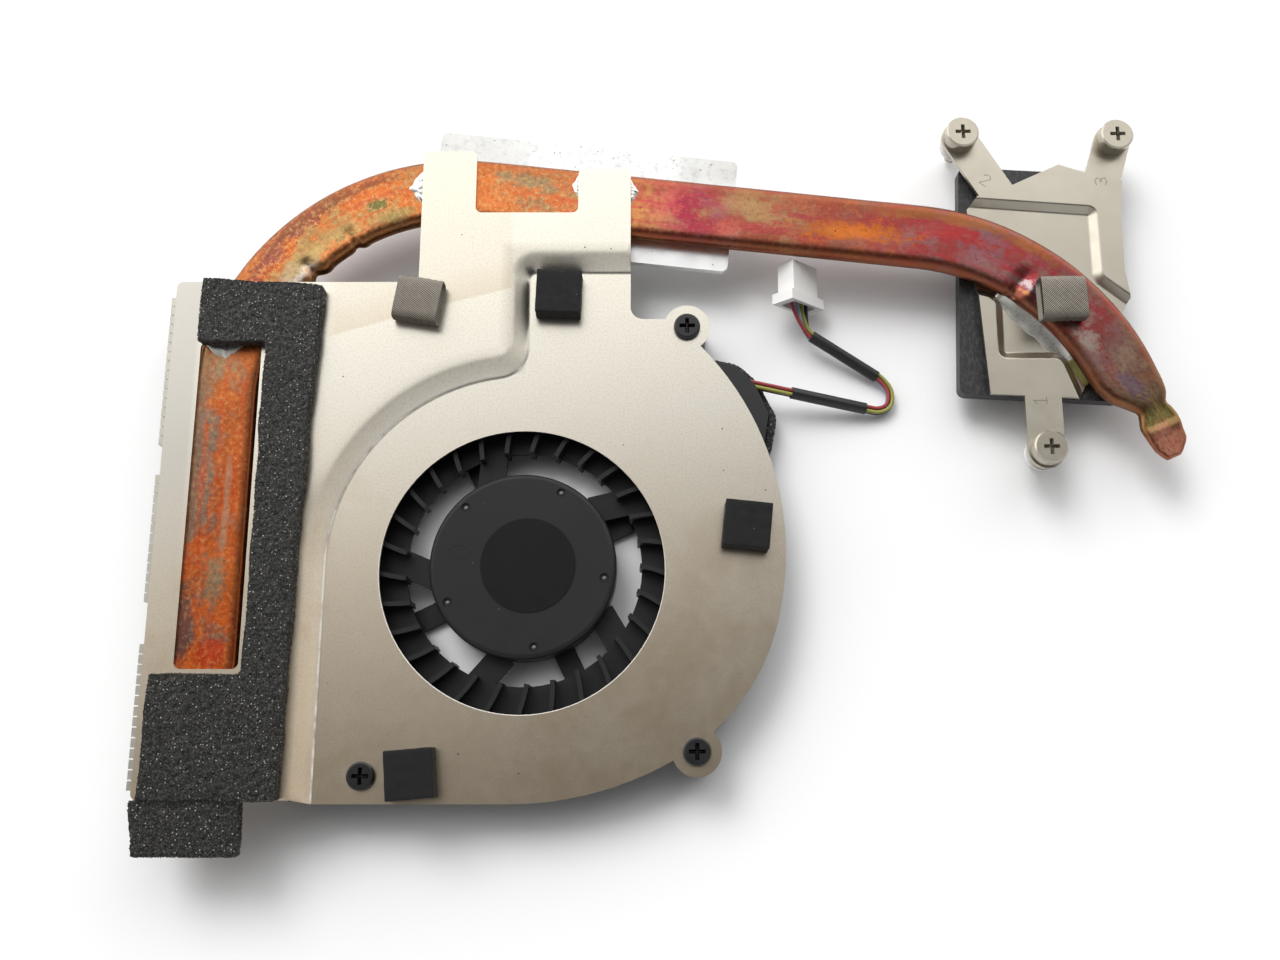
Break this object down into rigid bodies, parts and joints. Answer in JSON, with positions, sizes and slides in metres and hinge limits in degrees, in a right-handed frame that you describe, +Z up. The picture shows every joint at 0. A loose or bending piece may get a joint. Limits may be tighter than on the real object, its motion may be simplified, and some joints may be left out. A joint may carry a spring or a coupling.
{
  "type": "laptop cooling fan heatsink",
  "caption": "Flat blower fan with a drawn metal cover and a fin outlet, joined by a flattened copper heat pipe to a cold plate on a sprung three-armed bracket.",
  "frame": {"origin": "on the fan's spin axis, at the underside of the fan base", "axes": "+Z up along the spin axis, +X along the heat pipe to the cold plate, +Y from the fan to the pipe"},
  "size_m": [0.1615, 0.1171, 0.0132],
  "materials": {
    "nickel_cover": "satin nickel plate, stained",
    "black_plastic": "moulded",
    "impeller_plastic": "matte moulded",
    "label": "plain dark disc",
    "fin_metal": "plated fins",
    "copper": "heat-tinted copper",
    "plate_metal": "bright plate",
    "bracket_metal": "satin nickel plate",
    "black_coat": "scuffed black coat",
    "black_steel": "black oxide",
    "foam": "porous foam",
    "white_nylon": "moulded nylon",
    "contact_brass": "tinned",
    "steel": "plain steel",
    "magnet": "bonded ferrite",
    "bush_brass": "turned",
    "coil_wire": "enamelled copper",
    "board": "laminate",
    "blue_wire": "insulation",
    "red_wire": "insulation",
    "yellow_wire": "insulation",
    "black_wire": "insulation",
    "shrink_sleeve": "matte sleeve",
    "grey_fabric": "conductive twill",
    "screw_metal": "nickel plate",
    "pad_rubber": "matte rubber"
  },
  "bodies": {
    "cooler": {"bearing_bush": "bush_brass", "circuit_board": "board", "coils": "coil_wire", "cold_plate": "black_coat", "cover_screws": "black_steel", "exit_foam": "foam", "fabric_gasket_1": "grey_fabric", "fabric_gasket_2": "grey_fabric", "fan_cover": "nickel_cover", "fan_housing": "black_plastic", "fin_stack": "fin_metal", "foam_gasket": "foam", "heat_pipe": "copper", "plug": "white_nylon", "plug_contacts": "contact_brass", "rubber_pad_1": "pad_rubber", "rubber_pad_2": "pad_rubber", "rubber_pad_3": "pad_rubber", "sleeve_1": "shrink_sleeve", "sleeve_2": "shrink_sleeve", "sleeve_bearing": "bush_brass", "spreader_plate": "plate_metal", "spring_bracket": "bracket_metal", "stator_core": "steel", "thrust_pad": "white_nylon", "wire_black": "black_wire", "wire_blue": "blue_wire", "wire_red": "red_wire", "wire_yellow": "yellow_wire"},
    "rotor": {"impeller": "impeller_plastic", "hub_label": "label", "rotor_yoke": "steel", "magnet_ring": "magnet", "shaft": "steel"},
    "washer_1": {"retaining_washer_1": "white_nylon"},
    "screw_1": {"captive_screw_1": "screw_metal"},
    "washer_2": {"retaining_washer_2": "white_nylon"},
    "screw_2": {"captive_screw_2": "screw_metal"},
    "washer_3": {"retaining_washer_3": "white_nylon"},
    "screw_3": {"captive_screw_3": "screw_metal"}
  },
  "joints": [
    {"name": "impeller_spin", "type": "hinge", "parent": "cooler", "child": "rotor", "pos_m": [0, 0, 0], "axis": [0, 0, 1], "continuous": true},
    {"name": "screw_1_lift", "type": "slide", "parent": "cooler", "child": "washer_1", "axis": [0, 0, 1], "range_m": [0, 0.0017]},
    {"name": "screw_1_turn", "type": "hinge", "parent": "washer_1", "child": "screw_1", "pos_m": [0.08164, 0.0181, 0], "axis": [0, 0, 1], "continuous": true},
    {"name": "screw_2_lift", "type": "slide", "parent": "cooler", "child": "washer_2", "axis": [0, 0, 1], "range_m": [0, 0.0017]},
    {"name": "screw_2_turn", "type": "hinge", "parent": "washer_2", "child": "screw_2", "pos_m": [0.07114, 0.0716, 0], "axis": [0, 0, 1], "continuous": true},
    {"name": "screw_3_lift", "type": "slide", "parent": "cooler", "child": "washer_3", "axis": [0, 0, 1], "range_m": [0, 0.0017]},
    {"name": "screw_3_turn", "type": "hinge", "parent": "washer_3", "child": "screw_3", "pos_m": [0.09654, 0.0712, 0], "axis": [0, 0, 1], "continuous": true}
  ]
}
